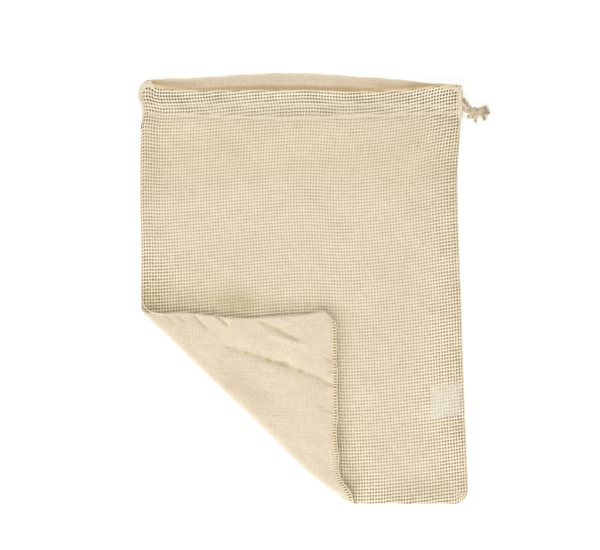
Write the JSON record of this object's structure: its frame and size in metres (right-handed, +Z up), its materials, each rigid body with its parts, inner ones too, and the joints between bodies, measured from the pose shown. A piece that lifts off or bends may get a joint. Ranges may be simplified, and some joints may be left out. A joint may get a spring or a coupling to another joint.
{
  "type": "produce bag",
  "caption": "Flat cotton drawstring produce bag with a net front and plain woven back, lying with its lower left corner folded over the front.",
  "frame": {"origin": "middle of the bag without its cord ends, on the surface that it lies on", "axes": "+X to the bag's right side seam, where the cord ends leave the casing; +Y to the mouth; +Z up from the surface, through the net front"},
  "size_m": [0.3297, 0.4045, 0.0194],
  "materials": {
    "back_cloth": "matte plain weave, unbleached",
    "net_yarn": "matte knitted net, unbleached",
    "cord_yarn": "matte twisted cord, unbleached",
    "label_tape": "smooth woven tape, blank"
  },
  "bodies": {
    "root": {"back_panel": "back_cloth", "front_net": "net_yarn", "care_label": "label_tape", "drawstring": "cord_yarn", "drawstring_knot": "cord_yarn"}
  },
  "joints": []
}
